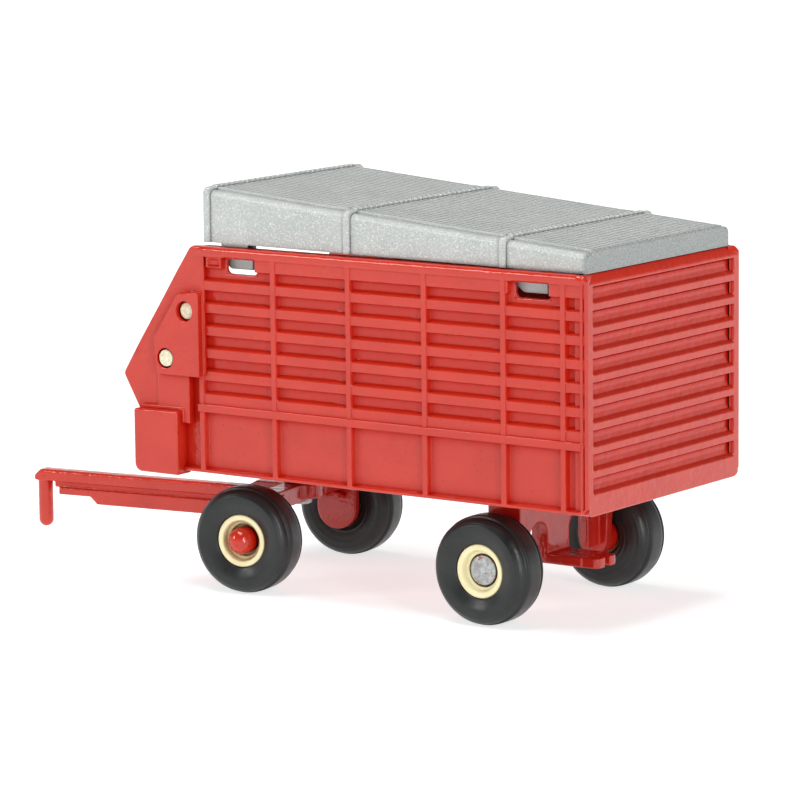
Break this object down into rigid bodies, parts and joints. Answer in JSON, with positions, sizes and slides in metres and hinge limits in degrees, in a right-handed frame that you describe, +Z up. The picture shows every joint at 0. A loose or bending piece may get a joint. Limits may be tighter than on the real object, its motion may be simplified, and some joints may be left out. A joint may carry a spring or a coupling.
{
  "type": "toy forage wagon",
  "caption": "Die-cast toy forage wagon: slatted box with grey lift-off roof, front beaters and cross conveyor, steered front axle, drawbar with hitch peg and dished wheels.",
  "frame": {"origin": "middle of the bounding box, on the ground plane under the wheels", "axes": "+X towards the drawbar's hitch end, +Y to the wagon's left, +Z up"},
  "size_m": [0.1032, 0.0408, 0.0562],
  "materials": {
    "red_paint": "gloss enamel over zinc casting",
    "bare_zinc": "peened bare zinc alloy",
    "roof_plastic": "satin silver-grey with fine metallic speckle",
    "rim_plastic": "cream gloss",
    "tyre_rubber": "smooth black, semi-matt",
    "beater_plastic": "cream satin"
  },
  "bodies": {
    "box": {"left_side_wall": "red_paint", "right_side_wall": "red_paint", "rear_wall": "red_paint", "box_floor": "red_paint", "left_drive_cover": "red_paint", "right_drive_cover": "red_paint", "left_conveyor_housing": "red_paint", "right_conveyor_housing": "red_paint", "cross_conveyor_trough": "red_paint", "rear_axle_casting": "red_paint", "rear_left_axle_end": "bare_zinc", "rear_right_axle_end": "bare_zinc", "kingpin_rivet": "bare_zinc"},
    "front_axle": {"front_axle_casting": "red_paint", "drawbar": "red_paint", "front_left_axle_end": "red_paint", "front_right_axle_end": "red_paint"},
    "front_left_wheel": {"front_left_rim": "rim_plastic", "front_left_tyre": "tyre_rubber"},
    "front_right_wheel": {"front_right_rim": "rim_plastic", "front_right_tyre": "tyre_rubber"},
    "rear_left_wheel": {"rear_left_rim": "rim_plastic", "rear_left_tyre": "tyre_rubber"},
    "rear_right_wheel": {"rear_right_rim": "rim_plastic", "rear_right_tyre": "tyre_rubber"},
    "upper_beater_rotor": {"upper_beater": "beater_plastic"},
    "lower_beater_rotor": {"lower_beater": "beater_plastic"},
    "roof": {"roof_shell": "roof_plastic", "roof_snap_tabs": "roof_plastic"}
  },
  "joints": [
    {"name": "steer", "type": "hinge", "parent": "box", "child": "front_axle", "pos_m": [0.0085, 0, 0.0118], "axis": [0, 0, 1], "range_deg": [-53.1, 36.9]},
    {"name": "front_left_roll", "type": "hinge", "parent": "front_axle", "child": "front_left_wheel", "pos_m": [0.00638, 0.01491, 0.0074], "axis": [-0.1409, 0.99, 0], "continuous": true},
    {"name": "front_right_roll", "type": "hinge", "parent": "front_axle", "child": "front_right_wheel", "pos_m": [0.01062, -0.01491, 0.0074], "axis": [-0.1409, 0.99, 0], "continuous": true},
    {"name": "rear_left_roll", "type": "hinge", "parent": "box", "child": "rear_left_wheel", "pos_m": [-0.03361, 0.01506, 0.0074], "axis": [0, 1, 0], "continuous": true},
    {"name": "rear_right_roll", "type": "hinge", "parent": "box", "child": "rear_right_wheel", "pos_m": [-0.03361, -0.01506, 0.0074], "axis": [0, 1, 0], "continuous": true},
    {"name": "upper_beater_spin", "type": "hinge", "parent": "box", "child": "upper_beater_rotor", "pos_m": [0.01305, 0, 0.039], "axis": [0, 1, 0], "continuous": true},
    {"name": "lower_beater_spin", "type": "hinge", "parent": "box", "child": "lower_beater_rotor", "pos_m": [0.01645, 0, 0.0323], "axis": [0, 1, 0], "continuous": true},
    {"name": "roof_lift", "type": "slide", "parent": "box", "child": "roof", "axis": [0, 0, 1], "range_m": [0, 0.015]}
  ]
}
